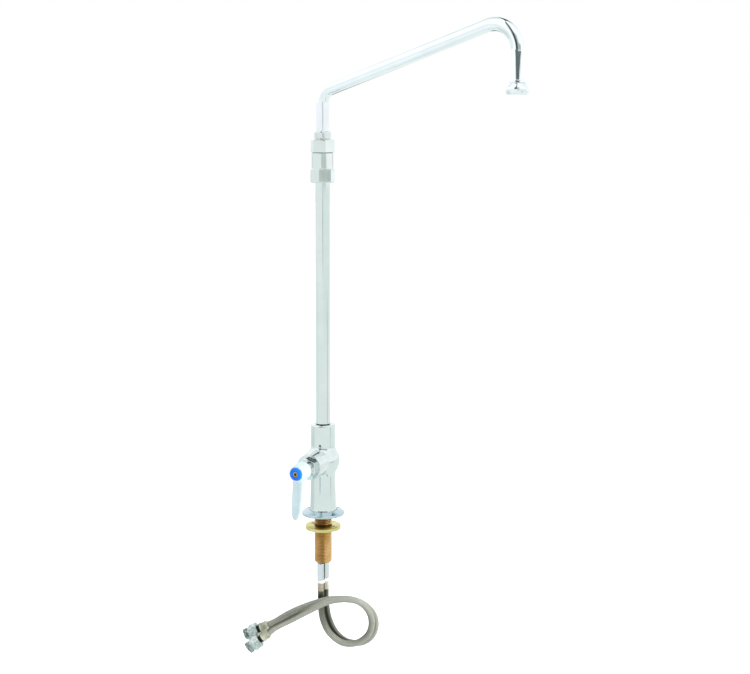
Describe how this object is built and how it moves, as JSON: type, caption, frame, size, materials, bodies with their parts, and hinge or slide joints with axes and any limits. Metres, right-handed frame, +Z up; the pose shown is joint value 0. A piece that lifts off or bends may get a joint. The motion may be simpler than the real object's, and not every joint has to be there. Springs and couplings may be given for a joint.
{
  "type": "deck mounted swing spout faucet",
  "caption": "Chrome deck faucet: tall riser with a sloping swing spout and flared outlet, lever valve on the column, threaded shank with clamp nut, and braided supply hoses below.",
  "frame": {"origin": "where the shank's axis meets the deck, on the underside of the base flange and gasket", "axes": "+Z up along the riser, +X from the column to the outlet with the spout at rest; the valve points between -Y and +X, 78 degrees from +X"},
  "size_m": [0.3465, 0.1122, 0.7409],
  "materials": {
    "chrome": "polished",
    "brass": "turned, dull",
    "rubber": "matte",
    "ceramic": "lapped",
    "white_plastic": "moulded",
    "steel": "turned",
    "ferrule": "pressed",
    "braid": "wire braid",
    "index": "gloss"
  },
  "bodies": {
    "base": {"valve_body": "chrome", "base_flange": "chrome", "base_gasket": "rubber", "threaded_shank": "brass", "clamp_nut": "brass", "riser_pipe": "chrome", "bonnet_nut": "chrome", "cartridge_body": "brass", "seat_seal": "rubber", "fixed_disc": "ceramic", "cartridge_o_ring": "rubber", "swivel_body": "chrome", "swivel_nut": "chrome", "lower_swivel_washer": "white_plastic", "upper_swivel_washer": "white_plastic", "front_hose_stem": "chrome", "rear_hose_stem": "chrome", "inlet_o_rings": "rubber", "front_upper_ferrule": "ferrule", "rear_upper_ferrule": "ferrule", "front_hose": "braid", "rear_hose": "braid", "front_lower_ferrule": "ferrule", "rear_lower_ferrule": "ferrule", "front_hose_tail": "steel", "rear_hose_tail": "steel", "tail_o_rings": "rubber", "tail_snap_rings": "steel"},
    "spout": {"spout_stem": "brass", "spout_o_rings": "rubber", "spout_collar": "chrome", "spout_tube": "chrome", "outlet_collar": "chrome", "outlet_housing": "chrome", "outlet_gasket": "rubber", "outlet_screen": "steel", "stream_former": "white_plastic"},
    "lever": {"valve_stem": "brass", "turning_disc": "ceramic", "stem_o_ring": "rubber", "lever_handle": "chrome", "index_disc": "index", "handle_screw": "brass"},
    "front_end": {"front_connector": "chrome"},
    "rear_end": {"rear_connector": "chrome"}
  },
  "joints": [
    {"name": "spout_swivel", "type": "hinge", "parent": "base", "child": "spout", "pos_m": [0, 0, 0.4305], "axis": [0, 0, 1], "continuous": true},
    {"name": "lever_turn", "type": "hinge", "parent": "base", "child": "lever", "pos_m": [0, 0, 0.066], "axis": [0.2079, -0.9781, 0], "range_deg": [0, 90]},
    {"name": "front_end_swivel", "type": "hinge", "parent": "base", "child": "front_end", "pos_m": [-0.05138, -0.06593, -0.15177], "axis": [-0.6288, -0.4716, -0.6183], "continuous": true},
    {"name": "rear_end_swivel", "type": "hinge", "parent": "base", "child": "rear_end", "pos_m": [-0.06668, -0.05082, -0.14535], "axis": [-0.8092, -0.3808, -0.4474], "continuous": true}
  ]
}
